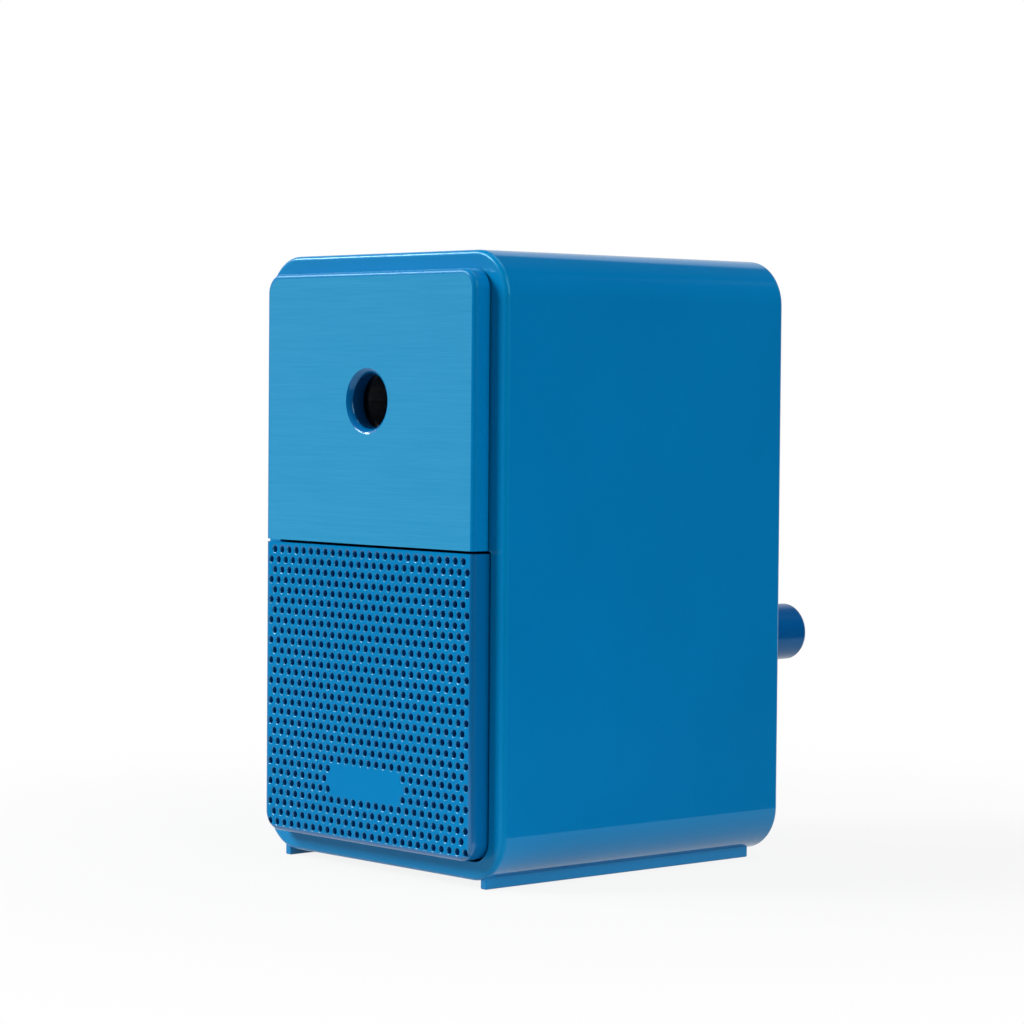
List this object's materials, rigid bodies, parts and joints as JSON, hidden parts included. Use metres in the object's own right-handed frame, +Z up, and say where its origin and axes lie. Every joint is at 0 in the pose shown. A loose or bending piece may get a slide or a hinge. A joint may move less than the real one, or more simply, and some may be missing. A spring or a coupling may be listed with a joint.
{
  "type": "crank pencil sharpener",
  "caption": "Upright desk pencil sharpener with a rear hand crank, a geared helical cutter inside and a shavings drawer with a pitted front.",
  "frame": {"origin": "middle of the footprint, crank included, on the surface that the rails stand on", "axes": "+Z up, -Y towards the user and the pencil hole, +Y towards the crank, +X to the right seen from the front"},
  "size_m": [0.06, 0.0984, 0.1],
  "materials": {
    "body_plastic": "glossy moulded blue",
    "panel_plastic": "satin blue with fine level brush lines",
    "drawer_plastic": "satin blue with round pits",
    "tray_plastic": "satin blue",
    "knob_plastic": "glossy moulded blue",
    "bearing_plastic": "black moulded",
    "cast_metal": "die cast, satin",
    "cutter_steel": "hardened and ground",
    "plated_steel": "bright plated",
    "brass": "turned"
  },
  "bodies": {
    "housing": {"housing_shell": "body_plastic", "front_panel": "panel_plastic", "back_cover": "body_plastic", "front_bearing": "bearing_plastic", "shaft_bush": "brass", "ring_gear": "cast_metal", "back_cover_screw_1": "plated_steel", "back_cover_screw_2": "plated_steel", "back_cover_screw_3": "plated_steel", "back_cover_screw_4": "plated_steel", "ring_gear_screw_1": "plated_steel", "ring_gear_screw_2": "plated_steel", "ring_gear_screw_3": "plated_steel"},
    "drawer": {"drawer_front": "drawer_plastic", "drawer_tray": "tray_plastic"},
    "crank": {"cutter_carrier": "cast_metal", "cutter_axle": "plated_steel", "crank_shaft": "plated_steel", "crank_arm": "plated_steel", "crank_screw": "plated_steel", "knob_pin": "plated_steel"},
    "cutter": {"helical_cutter": "cutter_steel", "cutter_pinion": "cutter_steel"},
    "knob": {"crank_knob": "knob_plastic"}
  },
  "joints": [
    {"name": "drawer_slide", "type": "slide", "parent": "housing", "child": "drawer", "axis": [0, -1, 0], "range_m": [0, 0.04]},
    {"name": "crank_turn", "type": "hinge", "parent": "housing", "child": "crank", "pos_m": [0, 0.01795, 0.0762], "axis": [0, 1, 0], "continuous": true},
    {"name": "cutter_spin", "type": "hinge", "parent": "crank", "child": "cutter", "pos_m": [0, 0.01967, 0.0762], "axis": [0, 0.9799, -0.1994], "continuous": true},
    {"name": "knob_spin", "type": "hinge", "parent": "crank", "child": "knob", "pos_m": [0, 0.02075, 0.035], "axis": [0, 1, 0], "continuous": true}
  ],
  "couplings": [
    {"joint": "cutter_spin", "follows": "crank_turn", "ratio": -1.7333}
  ]
}
